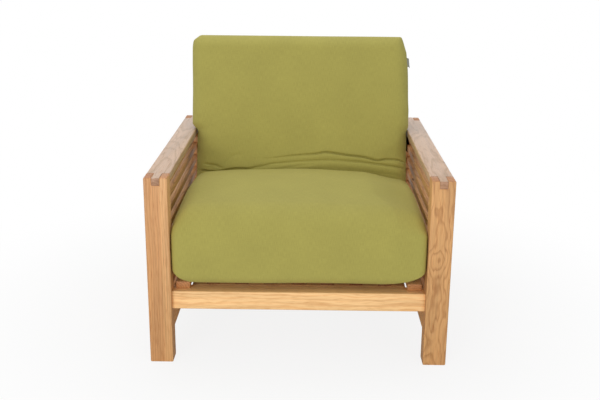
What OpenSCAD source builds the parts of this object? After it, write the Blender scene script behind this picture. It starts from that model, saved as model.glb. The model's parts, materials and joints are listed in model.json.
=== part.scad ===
/* [Frame] */
// Width over the two arms
frame_w = 880; // [840:4:940]
// Depth from the front posts' faces to the rear posts' faces
frame_d = 912; // [896:4:960]
// Height of the arms' top faces above the floor
arm_h = 569; // [540:1:620]
// Width of a post and of an arm, across the chair
post_w = 68; // [60:1:76]
// Depth of a post, front to back
post_d = 56; // [50:1:60]
// Thickness of an arm board
arm_t = 22; // [18:1:28]
// Height of a lower side rail
lower_rail_h = 56; // [44:1:60]
// Height of the lower side rails' undersides above the floor
lower_rail_z = 95; // [70:1:105]
// Number of side slats between a lower rail and its arm
side_slat_count = 8; // [5:1:9]
// Height of a side slat
side_slat_h = 22; // [16:1:26]
// Thickness of a side slat
side_slat_t = 20; // [14:1:22]
// Radius on the long edges of the oak
edge_r = 4; // [2:0.5:6]

/* [Bed base] */
// Height of the apron's top face above the floor
base_h = 222; // [205:1:250]
// Height and depth of the apron and of the rear rail
apron_s = 56; // [52:1:60]
// Set-back of the apron behind the front posts' faces
apron_set = 15; // [10:1:20]
// Set-back of the runners' front ends behind the front posts' faces
runner_set = 38; // [30:1:48]
// Gap between the slatted base and the back frame's stiles
base_clear = 5.5; // [4:0.5:10]
// Clearance between a sliding slat and the fixed slats beside it
slat_clear = 1.75; // [1.5:0.25:3]
// Thickness of a slat
slat_t = 21; // [19:0.5:24]
// Gap between the slatted frames and the posts, each side
deck_gap = 9.5; // [8:0.5:14]
// Thickness of a ledger
ledger_t = 24; // [20:1:28]
// Thickness of a joist
joist_t = 22; // [18:1:26]
// Thickness of a bearer and of the back's cross rails
bearer_t = 22; // [18:1:22]
// Width of a bearer
bearer_w = 56; // [44:1:60]
// Width of the batten that joins the sliding slats
batten_w = 30; // [24:1:32]

/* [Back] */
// Angle of the back frame above the floor
back_lean = 72; // [66:1:76]
// Length of the back frame from its pivot
back_l = 645; // [635:1:660]
// Distance of the back's pivot in front of the rear posts' faces
pivot_set = 244; // [232:1:244]
// Radius from the pivot to the quadrant's slot
quadrant_r = 110; // [100:1:118]
// Thickness of a quadrant plate
quadrant_t = 4; // [3:0.5:5]
// Thickness of a fold-down leg
leg_t = 20; // [18:0.5:20]
// Width of a fold-down leg
leg_w = 36; // [30:1:36]

/* [Futon] */
// Gap between the futon and the posts, each side
futon_gap = 2; // [1.5:0.5:8]
// Set-back of the futon's front behind the front posts' faces
futon_set = 3; // [2:0.5:8]
// Thickness of one layer of the seat
layer_t = 121; // [100:1:130]
// Thickness of the back section
back_pad_t = 126; // [110:1:135]
// Length of the back section along the back frame
back_pad_l = 656; // [648:1:690]
// Extra thickness of the back section at its crown
crown = 16; // [8:1:20]

/* [Hardware] */
// Diameter of the frame bolts and of the pivot bolts
bolt_d = 8; // [6:0.5:8]
// Diameter of a wood dowel
dowel_d = 10; // [8:1:12]
// Diameter of a wood screw's shank
screw_d = 4; // [3:0.5:5]

/* [Hidden] */

// Overrun of a cut past the face that it leaves
over = 1;
// Clearance under a sliding piece and between the futon and the wood
run_gap = 0.3;
// Radial clearance of a bolt in a part that turns on it
fit_gap = 0.05;
// Radial clearance of a bolt in the quadrant's slot
slot_gap = 0.2;
// Facets of a round bolt, bore or edge
round_n = 48;
$fn = round_n;

front = -frame_d / 2;
rear = frame_d / 2;
inner_w = frame_w - 2 * post_w;
inner_x = inner_w / 2;
inner_d = frame_d - 2 * post_d;
tenon_w = post_w / 3;
// Depth of a stub tenon or a slat's housing in a post
housing = 12;
// Length and height margin of a lower rail's tenon
rail_tenon_l = 25;
rail_tenon_in = 8;
side_gap_h = (arm_h - arm_t - lower_rail_z - lower_rail_h - side_slat_count * side_slat_h) / (side_slat_count + 1);
side_slat_x = frame_w / 2 - post_w / 2;

apron_rear = front + apron_set + apron_s;
rail_front = rear - post_d;
base_low = base_h - apron_s;
slat_count = 9;
deck_w = inner_w - 2 * deck_gap;
slat_w = (deck_w - 2 * (slat_count - 1) * slat_clear) / (2 * slat_count - 1);
slat_pitch = (deck_w - slat_w) / (slat_count - 1);
slide_z = base_h + run_gap;
axis_z = slide_z + slat_t / 2;
pivot_y = rear - pivot_set;
base_end = pivot_y - slat_t / 2 - base_clear;
// Clearance in front of the inner sliding slats' ends
slat_lead = 5;
slat_start = apron_rear + slat_lead;
// Set-back of the batten behind the inner slats' ends
batten_in = 49;
batten_y = slat_start + batten_in;
// Clearance between the batten and what lies behind it
batten_clear = 5;
fixed_start = batten_y + batten_w + batten_clear;
leg_pivot_y = batten_y + batten_w + batten_clear + leg_t / 2 + run_gap;
leg_l = axis_z - run_gap;
// Distance of the front bearer behind the fixed slats' front ends
bearer_in = 25;
bearer_front_y = fixed_start + bearer_in;
bearer_rear_y = base_end - bearer_w;
joist_x = slat_x(slat_count - 2);
leg_x = (slat_x(slat_count - 1) + slat_x(slat_count - 2)) / 2;
// Clearance between the lowered joist and the back's lowest rail
notch_clear = 3;
joist_notch = bearer_t + notch_clear;
ledger_x = inner_x - ledger_t / 2;

// Clearance between the back's cross rails and the ledgers
rail_clear = 4;
back_rail_w = 2 * (inner_x - ledger_t - rail_clear);
// Places of the back's cross rails and of its leg pivots, as shares of its length
lower_rail_share = 0.047;
middle_rail_share = 0.434;
upper_rail_l = 45;
back_leg_gap = 5;
back_leg_r = back_l - upper_rail_l - back_leg_gap - leg_t / 2;
back_slat_start = 15;
plate_x = inner_x;
spacer_l = deck_gap - run_gap;
knob_l = 18;
head_t = 4;
head_r = 6.5;
tag_w = 1.2;
tag_l = 30;
tag_d = 17;
// Place of the side tag along the back section, as a share of its length
tag_share = 0.85;

// The fold plane between the two seat layers, and the futon's corners
sole_z = slide_z + slat_t + run_gap;
fold_z = sole_z + layer_t;
futon_w = inner_w - 2 * futon_gap;
fold_y = front + futon_set;
roll_r = layer_t * 0.92;
pad_t0 = slat_t / 2 + run_gap;
pad_t1 = pad_t0 + back_pad_t;
mitre_gap = run_gap;
sole_y = pivot_y - (pad_t0 - (sole_z - axis_z) * cos(back_lean)) / sin(back_lean);
crease_y = pivot_y - (pad_t1 - (fold_z - axis_z) * cos(back_lean)) / sin(back_lean);
crease_r = (crease_y - pivot_y) * cos(back_lean) + (fold_z - axis_z) * sin(back_lean);
sole_r = (sole_y - pivot_y) * cos(back_lean) + (sole_z - axis_z) * sin(back_lean);

// Centre of sliding slat i, counted from the left
function slat_x(i) = -deck_w / 2 + slat_w / 2 + i * slat_pitch;

// Underside of side slat i, counted from the lower rail
function side_slat_z(i) = lower_rail_z + lower_rail_h + side_gap_h + i * (side_slat_h + side_gap_h);

// A power that keeps the sign, for rounded cushion sections
function spow(v, e) = sign(v) * pow(abs(v), e);

module on_left() {
    mirror([1, 0, 0]) children();
}

module on_both() {
    children();
    on_left() children();
}

// A flat outline with rounded corners, centred
module round_rect(w, d, r) {
    square([w - 2 * r, d], center = true);
    square([w, d - 2 * r], center = true);
    for (sx = [-1, 1], sy = [-1, 1])
        translate([sx * (w / 2 - r), sy * (d / 2 - r)]) circle(r);
}

// A bar along Y from y0 to y1 with rounded long edges
module bar_y(x, z, w, h, y0, y1, r) {
    translate([x, y1, z]) rotate([90, 0, 0]) linear_extrude(y1 - y0) round_rect(w, h, r);
}

// A bar along X, centred, with rounded long edges
module bar_x(l, y, z, d, h, r) {
    translate([-l / 2, y, z]) rotate([90, 0, 90]) linear_extrude(l) round_rect(d, h, r);
}

// Square-edged box between two corners
module box(low, high) {
    translate(low) cube(high - low);
}

// Pieces of the back are built flat along +Y from the pivot, then leaned
module on_back() {
    translate([0, pivot_y, axis_z]) rotate([back_lean, 0, 0]) children();
}

module rod_x(r, x0, x1, y, z) {
    translate([x0, y, z]) rotate([0, 90, 0]) cylinder(h = x1 - x0, r = r);
}

module rod_y(r, y0, y1, x, z) {
    translate([x, y1, z]) rotate([90, 0, 0]) cylinder(h = y1 - y0, r = r);
}

// Frame
module side_slat_bar(i) {
    box([side_slat_x - side_slat_t / 2, front + post_d - housing, side_slat_z(i)],
        [side_slat_x + side_slat_t / 2, rear - post_d + housing, side_slat_z(i) + side_slat_h]);
}

module arm_tenon(y0, y1, up) {
    box([side_slat_x - tenon_w / 2, y0, arm_h - arm_t], [side_slat_x + tenon_w / 2, y1, arm_h + up]);
}

module rail_tenon() {
    box([side_slat_x - tenon_w / 2, front + post_d - rail_tenon_l, lower_rail_z + rail_tenon_in],
        [side_slat_x + tenon_w / 2, rear - post_d + rail_tenon_l, lower_rail_z + lower_rail_h - rail_tenon_in]);
}

bolt_in = 45;
nut_in = 35;
nut_r = 7;
nut_l = 30;
bore_head_r = 9;
bore_head_l = 8;
bolt_z = base_low + apron_s / 2;
front_bolt_y = front + post_d / 2;
rear_bolt_y = rear - post_d / 2;

module frame_bolt(y, clear) {
    rod_x(bolt_d / 2 + clear, inner_x - bolt_in - clear, frame_w / 2 - bore_head_l, y, bolt_z);
    rod_x(bore_head_r + clear, frame_w / 2 - bore_head_l, frame_w / 2 - bore_head_l + head_t, y, bolt_z);
}

module bolt_bore(y) {
    frame_bolt(y, slot_gap);
    rod_x(bore_head_r + slot_gap, frame_w / 2 - bore_head_l, frame_w / 2 + over, y, bolt_z);
}

module post(y) {
    color("burlywood") difference() {
        translate([side_slat_x, y, 0]) linear_extrude(arm_h) round_rect(post_w, post_d, edge_r);
        arm_tenon(front - over, rear + over, over);
        rail_tenon();
        for (i = [0:side_slat_count - 1]) side_slat_bar(i);
        bolt_bore(y < 0 ? front_bolt_y : rear_bolt_y);
    }
}

module front_post_right() { post(front + post_d / 2); }
module front_post_left() { on_left() front_post_right(); }
module rear_post_right() { post(rear - post_d / 2); }
module rear_post_left() { on_left() rear_post_right(); }

module arm_right() {
    color("tan") {
        bar_y(side_slat_x, arm_h - arm_t / 2, post_w, arm_t, front + post_d, rear - post_d, edge_r);
        arm_tenon(front, rear, 0);
    }
}
module arm_left() { on_left() arm_right(); }

module lower_rail_right() {
    color("burlywood") {
        bar_y(side_slat_x, lower_rail_z + lower_rail_h / 2, post_w, lower_rail_h,
            front + post_d, rear - post_d, edge_r);
        rail_tenon();
    }
}
module lower_rail_left() { on_left() lower_rail_right(); }

module side_slats_right() {
    color("peru") for (i = [0:side_slat_count - 1]) side_slat_bar(i);
}
module side_slats_left() { on_left() side_slats_right(); }

// Bed base
dowel_z = base_low + 0.3 * apron_s;
dowel_in = 20;

module dowel(x, y) {
    rod_y(dowel_d / 2, y - dowel_in, y + dowel_in, x, dowel_z);
}

module end_dowels() {
    for (x = [ledger_x, joist_x]) on_both() {
        dowel(x, apron_rear);
        dowel(x, rail_front);
    }
}

module barrel_bore(y) {
    translate([inner_x - nut_in, y, base_low - over])
        cylinder(h = bolt_z + nut_l / 2 - base_low + over, r = nut_r);
}

module cross_rail(y, bolt_y) {
    color("burlywood") difference() {
        bar_x(inner_w, y, bolt_z, apron_s, apron_s, edge_r);
        on_both() {
            frame_bolt(bolt_y, slot_gap);
            barrel_bore(bolt_y);
        }
        end_dowels();
    }
}

module apron() { cross_rail(front + apron_set + apron_s / 2, front_bolt_y); }
module rear_rail() { cross_rail(rail_front + apron_s / 2, rear_bolt_y); }

module ledger_right() {
    color("burlywood") difference() {
        bar_y(ledger_x, bolt_z, ledger_t, apron_s, apron_rear, rail_front, edge_r / 2);
        end_dowels();
        quadrant_fixings();
    }
}
module ledger_left() { on_left() ledger_right(); }

module joist_right() {
    color("burlywood") difference() {
        box([joist_x - joist_t / 2, apron_rear, base_low], [joist_x + joist_t / 2, rail_front, base_h]);
        box([joist_x - joist_t / 2 - over, base_end, base_h - joist_notch],
            [joist_x + joist_t / 2 + over, rail_front + over, base_h + over]);
        end_dowels();
    }
}
module joist_left() { on_left() joist_right(); }

function fixed_x(j) = (slat_x(j) + slat_x(j + 1)) / 2;
fixed_list = [for (j = [1:slat_count - 3]) j];

module countersunk(x, y, z, l) {
    translate([x, y, z - l]) cylinder(h = l, r = screw_d / 2);
    translate([x, y, z - screw_d / 2]) cylinder(h = screw_d / 2, r1 = screw_d / 2, r2 = screw_d);
}

module fixed_screw_set() {
    for (j = fixed_list, y = [bearer_front_y, bearer_rear_y])
        countersunk(fixed_x(j), y + bearer_w / 2, base_h + slat_t, slat_t + 0.7 * bearer_t);
}

module bearer(y) {
    color("burlywood") difference() {
        box([-joist_x + joist_t / 2, y, base_h - bearer_t], [joist_x - joist_t / 2, y + bearer_w, base_h]);
        fixed_screw_set();
    }
}
// Carries the sliding slats' front ends behind the apron
module bearer_lip() {
    bearer(apron_rear);
    // Outside the joists it is carried on as far as the stop blocks' way
    color("burlywood") on_both()
        box([joist_x + joist_t / 2, apron_rear, base_h - bearer_t],
            [stop_x - stop_w - 2 * stop_gap, apron_rear + bearer_w, base_h]);
}
module bearer_front() { bearer(bearer_front_y); }
module bearer_rear() { bearer(bearer_rear_y); }

module fixed_slats() {
    color("wheat") difference() {
        for (j = fixed_list)
            bar_y(fixed_x(j), base_h + slat_t / 2, slat_w, slat_t, fixed_start, base_end, edge_r / 2);
        fixed_screw_set();
    }
}

module fixed_slat_screws() { color("silver") fixed_screw_set(); }

module frame_bolts() {
    color("silver") on_both() {
        frame_bolt(front_bolt_y, 0);
        frame_bolt(rear_bolt_y, 0);
    }
}

module barrel_nuts() {
    color("gray") on_both() for (y = [front_bolt_y, rear_bolt_y]) difference() {
        translate([inner_x - nut_in, y, bolt_z - nut_l / 2]) cylinder(h = nut_l, r = nut_r);
        rod_x(bolt_d / 2, inner_x - nut_in - nut_r - over, inner_x - nut_in + nut_r + over, y, bolt_z);
    }
}

module base_dowels() { color("wheat") end_dowels(); }

// Quadrant plates that carry the back's pivot and its clamped arc slot
plate_margin = 10.2;
plate_drop = 42;

module sector(r, a0, a1) {
    intersection() {
        circle(r);
        polygon([[0, 0], for (k = [0:4]) 2 * r * [cos(a0 + (a1 - a0) * k / 4), sin(a0 + (a1 - a0) * k / 4)]]);
    }
}

module quadrant_outline() {
    difference() {
        union() {
            sector(quadrant_r + plate_margin, 0, back_lean);
            circle(plate_margin);
            for (a = [0, back_lean]) rotate(a) translate([quadrant_r, 0]) circle(plate_margin);
            translate([-plate_margin, -plate_drop]) square([quadrant_r + 2 * plate_margin, plate_drop]);
        }
        circle(bolt_d / 2 + fit_gap);
        difference() {
            sector(quadrant_r + bolt_d / 2 + slot_gap, 0, back_lean);
            circle(quadrant_r - bolt_d / 2 - slot_gap);
        }
        for (a = [0, back_lean]) rotate(a) translate([quadrant_r, 0]) circle(bolt_d / 2 + slot_gap);
    }
}

fixing_drop = 27;
fixing_l = 20;

module quadrant_fixings() {
    for (y = [pivot_y + plate_margin, pivot_y + quadrant_r - plate_margin]) {
        rod_x(screw_d / 2, plate_x + quadrant_t - fixing_l, plate_x + quadrant_t, y, axis_z - fixing_drop);
        rod_x(screw_d, plate_x + quadrant_t, plate_x + quadrant_t + screw_d / 2, y, axis_z - fixing_drop);
    }
}

module quadrant_right() {
    color("dimgray") difference() {
        translate([plate_x, pivot_y, axis_z]) rotate([90, 0, 90]) linear_extrude(quadrant_t) quadrant_outline();
        quadrant_fixings();
    }
}
module quadrant_left() { on_left() quadrant_right(); }
module quadrant_screws() { color("silver") on_both() quadrant_fixings(); }

// Sliding deck
module leg_bolt_at(y, z, clear) {
    rod_x(bolt_d / 2 + clear, joist_x, deck_w / 2 + head_t, y, z);
    rod_x(head_r + clear, deck_w / 2, deck_w / 2 + head_t, y, z);
}

module deck_screw_set() {
    for (i = [0:slat_count - 1])
        countersunk(slat_x(i), batten_y + batten_w / 2, slide_z + slat_t, 0.8 * slat_t);
}

module batten_solid() {
    box([-deck_w / 2, batten_y, slide_z], [deck_w / 2, batten_y + batten_w, slide_z + slat_t / 2]);
    for (i = [0:slat_count - 2])
        box([slat_x(i) + slat_w / 2, batten_y, slide_z],
            [slat_x(i + 1) - slat_w / 2, batten_y + batten_w, slide_z + slat_t]);
}

module sliding_slat(i, y0) {
    difference() {
        bar_y(slat_x(i), axis_z, slat_w, slat_t, y0, base_end, edge_r / 2);
        box([slat_x(i) - slat_w / 2 - over, batten_y, slide_z - over],
            [slat_x(i) + slat_w / 2 + over, batten_y + batten_w, slide_z + slat_t / 2]);
    }
}

module runner_right() {
    color("wheat") difference() {
        sliding_slat(slat_count - 1, front + runner_set);
        leg_bolt_at(leg_pivot_y, axis_z, 0);
        deck_screw_set();
    }
}
module runner_left() { on_left() runner_right(); }

module deck_slats() {
    color("wheat") difference() {
        for (i = [1:slat_count - 2]) sliding_slat(i, slat_start);
        on_both() leg_bolt_at(leg_pivot_y, axis_z, 0);
        deck_screw_set();
    }
}

module deck_batten() {
    color("burlywood") difference() {
        batten_solid();
        deck_screw_set();
    }
}

module deck_screws() { color("silver") deck_screw_set(); }

stop_w = 25;
stop_h = 26;
stop_l = 31;
// Clearance between a stop block and the ledger that it slides along
stop_gap = 1.5;
stop_x = inner_x - ledger_t - stop_gap;

module deck_stop_right() {
    color("burlywood") box([stop_x - stop_w, base_end - stop_l, slide_z - stop_h], [stop_x, base_end, slide_z]);
}
module deck_stop_left() { on_left() deck_stop_right(); }

module deck_leg_bolts() { color("silver") on_both() leg_bolt_at(leg_pivot_y, axis_z, 0); }

// A fold-down leg lying along +Y from its pivot
module leg_blank() {
    difference() {
        union() {
            translate([leg_x - leg_w / 2, 0, 0]) rotate([0, 90, 0]) cylinder(h = leg_w, r = leg_t / 2);
            box([leg_x - leg_w / 2, 0, -leg_t / 2], [leg_x + leg_w / 2, leg_l, leg_t / 2]);
        }
        rod_x(bolt_d / 2 + fit_gap, leg_x - leg_w, leg_x + leg_w, 0, 0);
    }
}

module deck_leg_right() {
    color("burlywood") translate([0, leg_pivot_y, axis_z]) leg_blank();
}
module deck_leg_left() { on_left() deck_leg_right(); }

// Back frame, flat along +Y from the pivot
module back_screw_set() {
    for (i = [0:slat_count - 1], y = back_rail_list)
        countersunk(slat_x(i) * (i == 0 || i == slat_count - 1 ? 0.96 : 1), y[0] + y[1] / 2,
            slat_t / 2, slat_t + 0.7 * bearer_t);
}
back_rail_list = [[back_l * lower_rail_share, bearer_w], [back_l * middle_rail_share, bearer_w],
    [back_l - upper_rail_l, upper_rail_l]];

module back_rail(k) {
    color("burlywood") on_back() difference() {
        box([-back_rail_w / 2, back_rail_list[k][0], -slat_t / 2 - bearer_t],
            [back_rail_w / 2, back_rail_list[k][0] + back_rail_list[k][1], -slat_t / 2]);
        back_screw_set();
    }
}
module back_rail_lower() { back_rail(0); }
module back_rail_middle() { back_rail(1); }
module back_rail_upper() { back_rail(2); }

module clamp_rod(r, x0, x1) { rod_x(r, x0, x1, quadrant_r, 0); }
module pivot_rod(r, x0, x1) { rod_x(r, x0, x1, 0, 0); }

pivot_bolt_in = 30;

module back_stile_right() {
    color("wheat") on_back() difference() {
        union() {
            bar_y(slat_x(slat_count - 1), 0, slat_w, slat_t, 0, back_l, edge_r / 2);
            rod_x(slat_t / 2, deck_w / 2 - slat_w, deck_w / 2, 0, 0);
        }
        pivot_rod(bolt_d / 2, deck_w / 2 - pivot_bolt_in, deck_w / 2 + over);
        clamp_rod(bolt_d / 2, deck_w / 2 - slat_w - over, deck_w / 2 + over);
        leg_bolt_at(back_leg_r, 0, 0);
        back_screw_set();
    }
}
module back_stile_left() { on_left() back_stile_right(); }

module back_slats() {
    color("wheat") on_back() difference() {
        for (i = [1:slat_count - 2]) bar_y(slat_x(i), 0, slat_w, slat_t, back_slat_start, back_l, edge_r / 2);
        on_both() leg_bolt_at(back_leg_r, 0, 0);
        back_screw_set();
    }
}

module back_screws() { color("silver") on_back() back_screw_set(); }

// Gap between a bolt's head and the plate that it turns on
head_gap = 0.3;

module pivot_bolts() {
    color("silver") on_back() on_both() {
        pivot_rod(bolt_d / 2, deck_w / 2 - pivot_bolt_in, plate_x + quadrant_t + head_gap);
        pivot_rod(head_r, plate_x + quadrant_t + head_gap, plate_x + quadrant_t + head_gap + head_t);
    }
}

module pivot_spacers() {
    color("gray") on_back() on_both() difference() {
        pivot_rod(slat_t / 2 - 2 * run_gap, deck_w / 2, deck_w / 2 + spacer_l);
        pivot_rod(bolt_d / 2, deck_w / 2 - over, plate_x + over);
    }
}

module clamp_bolts() {
    color("silver") on_back() on_both() {
        clamp_rod(bolt_d / 2, deck_w / 2 - slat_w - knob_l / 2, plate_x + quadrant_t + head_gap);
        clamp_rod(head_r, plate_x + quadrant_t + head_gap, plate_x + quadrant_t + head_gap + head_t);
    }
}

module clamp_spacers() {
    color("gray") on_back() on_both() difference() {
        clamp_rod(slat_t / 2 - 2 * run_gap, deck_w / 2, deck_w / 2 + spacer_l);
        clamp_rod(bolt_d / 2, deck_w / 2 - over, plate_x + over);
    }
}

module clamp_knobs() {
    color("dimgray") on_back() on_both() difference() {
        clamp_rod(slat_t / 2 - 2 * run_gap, deck_w / 2 - slat_w - knob_l, deck_w / 2 - slat_w);
        clamp_rod(bolt_d / 2, deck_w / 2 - slat_w - knob_l / 2, deck_w / 2);
    }
}

module back_leg_bolts() { color("silver") on_back() on_both() leg_bolt_at(back_leg_r, 0, 0); }

module back_leg_right() {
    color("burlywood") on_back() translate([0, back_leg_r, 0]) mirror([0, 1, 0]) leg_blank();
}
module back_leg_left() { on_left() back_leg_right(); }

// Futon. Each section is a stack of rounded rings along its length
ring_n = 26;
side_pow = 0.42;
crown_pow = 0.62;
// Share of the crown that the seat layer keeps clear of the back section
crease_clear = 0.8;

// Joins rings of points into a closed solid of triangles
module skin(rings) {
    n = len(rings[0]);
    m = len(rings);
    points = [for (ring = rings) each ring];
    sides = [for (k = [0:m - 2], i = [0:n - 1])
        let (a = k * n + i, b = k * n + (i + 1) % n)
        each [[a, a + n, b], [b, a + n, b + n]]];
    first_cap = [for (i = [1:n - 2]) [0, i, i + 1]];
    last_cap = [for (i = [1:n - 2]) [(m - 1) * n, (m - 1) * n + i + 1, (m - 1) * n + i]];
    polyhedron(points, concat(first_cap, sides, last_cap));
}

// Half width of a seat layer at a share s of its length
function seat_half(s) = futon_w / 2 * (1 - 0.02 * pow(1 - s, 6) - 0.012 * pow(s, 8));

roll_steps = [6, 14, 24, 36, 50, 66, 90];
body_shares = [0.12, 0.3, 0.5, 0.7, 0.85, 0.95, 1];

// Rings of a seat layer: dir is 1 above the fold plane and -1 below it
function seat_ring(y, h, s, dir, rear_rise) = [for (i = [0:ring_n])
    let (a = 180 * i / ring_n, z = h * pow(sin(a), side_pow) * (1 - 0.07 * abs(cos(a))))
    [seat_half(s) * spow(cos(a), crown_pow),
     y + rear_rise * z * pow(s, 10),
     fold_z + dir * (run_gap / 2 + z)]];

function layer_rings(dir, h, y_end, rear_rise) = concat(
    [for (a = roll_steps) seat_ring(fold_y + roll_r * (1 - cos(a)), h * sin(a), 0, dir, rear_rise)],
    [for (s = body_shares) let (y0 = fold_y + roll_r) seat_ring(y0 + (y_end - y0) * s, h, s, dir, rear_rise)]);

module futon_upper() {
    rise = cos(back_lean) / sin(back_lean);
    color("darkkhaki") skin(layer_rings(1, layer_t - run_gap, crease_y - crease_clear * crown, rise));
}

module futon_lower() {
    rise = (sole_y - crease_y) / layer_t;
    color("olivedrab") mirror([1, 0, 0])
        skin(layer_rings(-1, layer_t - run_gap, crease_y - mitre_gap, rise));
}

back_shares = [0, 0.05, 0.12, 0.25, 0.4, 0.55, 0.7, 0.82, 0.9, 0.95, 0.98, 1];

// Thickness share and width of the back section at a share s of its length
function back_thick(s) = s > 0.82 ? sqrt(1 - 0.86 * pow((s - 0.82) / 0.18, 3)) : 1;
function back_half(s) = futon_w / 2 * (1 - 0.02 * pow(s, 12));

function back_ring(s) =
    let (mid = pad_t0 + back_pad_t / 2, half_t = back_pad_t / 2 * back_thick(s),
         bulge = crown * sin(180 * min(1, s)) * (s > 0 ? 1 : 0))
    [for (i = [0:2 * ring_n - 1])
        let (a = 180 * i / ring_n, c = spow(cos(a), crown_pow), v = spow(sin(a), side_pow),
             t = mid + half_t * v + (v > 0 ? bulge * v * (1 - c * c) : 0),
             low = sole_r + mitre_gap + (crease_r - sole_r) * (t - pad_t0) / back_pad_t)
        [back_half(s) * c, low * (1 - s) + back_pad_l * s, t]];

module futon_back() {
    color("darkkhaki") on_back() mirror([1, 0, 0]) skin([for (s = back_shares) back_ring(s)]);
}

// Share of the back section's length that lies below radius r
mid_low = mitre_gap + (sole_r + crease_r) / 2;
function back_share(r) = (r - mid_low) / (back_pad_l - mid_low);

module side_tag() {
    r = back_pad_l * tag_share;
    x = back_half(back_share(r - tag_l / 2)) + run_gap;
    color("gray") on_back() translate([x, r - tag_l / 2, pad_t0 + back_pad_t / 2 - tag_w / 2])
        cube([tag_d / 2, tag_l, tag_w]);
}

front_post_left();
front_post_right();
rear_post_left();
rear_post_right();
arm_left();
arm_right();
lower_rail_left();
lower_rail_right();
side_slats_left();
side_slats_right();
apron();
rear_rail();
ledger_left();
ledger_right();
joist_left();
joist_right();
bearer_lip();
bearer_front();
bearer_rear();
fixed_slats();
fixed_slat_screws();
frame_bolts();
barrel_nuts();
base_dowels();
quadrant_left();
quadrant_right();
quadrant_screws();
runner_left();
runner_right();
deck_slats();
deck_batten();
deck_screws();
deck_stop_left();
deck_stop_right();
deck_leg_bolts();
deck_leg_left();
deck_leg_right();
back_stile_left();
back_stile_right();
back_slats();
back_rail_lower();
back_rail_middle();
back_rail_upper();
back_screws();
pivot_bolts();
pivot_spacers();
clamp_bolts();
clamp_spacers();
clamp_knobs();
back_leg_bolts();
back_leg_left();
back_leg_right();
futon_lower();
futon_upper();
futon_back();
side_tag();
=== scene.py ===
"""Looks of a slatted oak chair bed with a folded futon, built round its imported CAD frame.

Every length is in metres, +Z is up and the chair faces -Y.
"""

import functools
import json
import math
import random

import bmesh
import bpy
import numpy as np
from mathutils import Matrix, Vector

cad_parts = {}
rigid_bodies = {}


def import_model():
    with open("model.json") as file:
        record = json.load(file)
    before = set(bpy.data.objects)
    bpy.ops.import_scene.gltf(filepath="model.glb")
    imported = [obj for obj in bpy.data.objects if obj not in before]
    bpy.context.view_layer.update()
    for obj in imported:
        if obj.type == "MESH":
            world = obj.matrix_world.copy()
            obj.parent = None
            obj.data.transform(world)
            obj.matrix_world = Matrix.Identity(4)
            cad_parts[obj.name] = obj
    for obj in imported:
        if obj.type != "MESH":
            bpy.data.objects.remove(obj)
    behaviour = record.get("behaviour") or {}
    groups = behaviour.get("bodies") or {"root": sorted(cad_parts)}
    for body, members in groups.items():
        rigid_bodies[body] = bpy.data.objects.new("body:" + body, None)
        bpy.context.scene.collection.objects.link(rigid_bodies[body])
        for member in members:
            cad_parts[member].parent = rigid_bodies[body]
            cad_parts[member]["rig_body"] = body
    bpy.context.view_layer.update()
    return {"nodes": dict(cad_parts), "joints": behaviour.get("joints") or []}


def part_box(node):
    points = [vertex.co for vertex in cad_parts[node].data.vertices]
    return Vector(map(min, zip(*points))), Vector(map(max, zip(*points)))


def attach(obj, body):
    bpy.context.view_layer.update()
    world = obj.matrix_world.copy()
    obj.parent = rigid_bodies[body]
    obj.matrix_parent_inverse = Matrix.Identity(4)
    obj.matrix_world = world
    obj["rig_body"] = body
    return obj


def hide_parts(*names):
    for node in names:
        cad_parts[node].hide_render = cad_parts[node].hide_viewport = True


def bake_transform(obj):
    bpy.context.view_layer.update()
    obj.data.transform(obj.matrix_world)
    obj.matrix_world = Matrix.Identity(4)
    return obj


bl_info = {
    "name": "Oak Chair Bed",
    "version": (1, 0, 0),
    "blender": (4, 5, 0),
    "location": "View3D > Sidebar > Chair Bed",
    "description": "Dresses the slatted chair bed with oiled oak, hardware and a folded futon",
    "category": "Object",
}

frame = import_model()
MM = 0.001

# Places that the CAD model fixes
POST_LOW, POST_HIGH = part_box("front_post_right")
FRONT = POST_LOW.y
ARM_TOP = POST_HIGH.z
SLAT_X = (POST_LOW.x + POST_HIGH.x) / 2
DECK_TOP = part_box("deck_slats")[1].z
HINGES = {joint["name"]: joint.get("pos_m") for joint in frame["joints"]}
PIVOT_Y, PIVOT_Z = HINGES["back_recline"][1:]
FOLD_Z = HINGES["futon_unfold"][2]

# The slats of the base and the back, and how far up the back its rows of screws lie
SLAT_WIDTH = 41 * MM
SLAT_PITCH = 85.5 * MM
BACK_SLAT_THICK = 21 * MM
BACK_SCREW_ROWS = (58.3 * MM, 307.9 * MM, 622.5 * MM)

# Edge radii of the posts and of the pieces that slide or turn close to others
POST_EDGE = 3.2 * MM
CLOSE_EDGE = 0.8 * MM

# The futon's underside, just clear of the slats
SOLE_Z = DECK_TOP + 0.5 * MM

# How the back leans from level. On it r runs up the back frame and t out of its front, and
# the pad lies between two values of t and ends at one of r.
LEAN = math.radians(72)
LEAN_COS, LEAN_SIN = math.cos(LEAN), math.sin(LEAN)
PAD_T0 = 10.8 * MM
PAD_T1 = 136.8 * MM
PAD_END = 655 * MM


def on_back(r, t):
    """(y, z) of a point r along the back frame and t in front of its centre plane."""
    return PIVOT_Y + r * LEAN_COS - t * LEAN_SIN, PIVOT_Z + r * LEAN_SIN + t * LEAN_COS


def r_at(z, t):
    """r of the point that lies at height z and t in front of the back frame."""
    return (z - PIVOT_Z - t * LEAN_COS) / LEAN_SIN


def along_back(y, z):
    """(r, t) parts of a direction."""
    return y * LEAN_COS + z * LEAN_SIN, z * LEAN_COS - y * LEAN_SIN


def off_back(y, z):
    """(r, t) of a point."""
    return along_back(y - PIVOT_Y, z - PIVOT_Z)


# Settings


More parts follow.
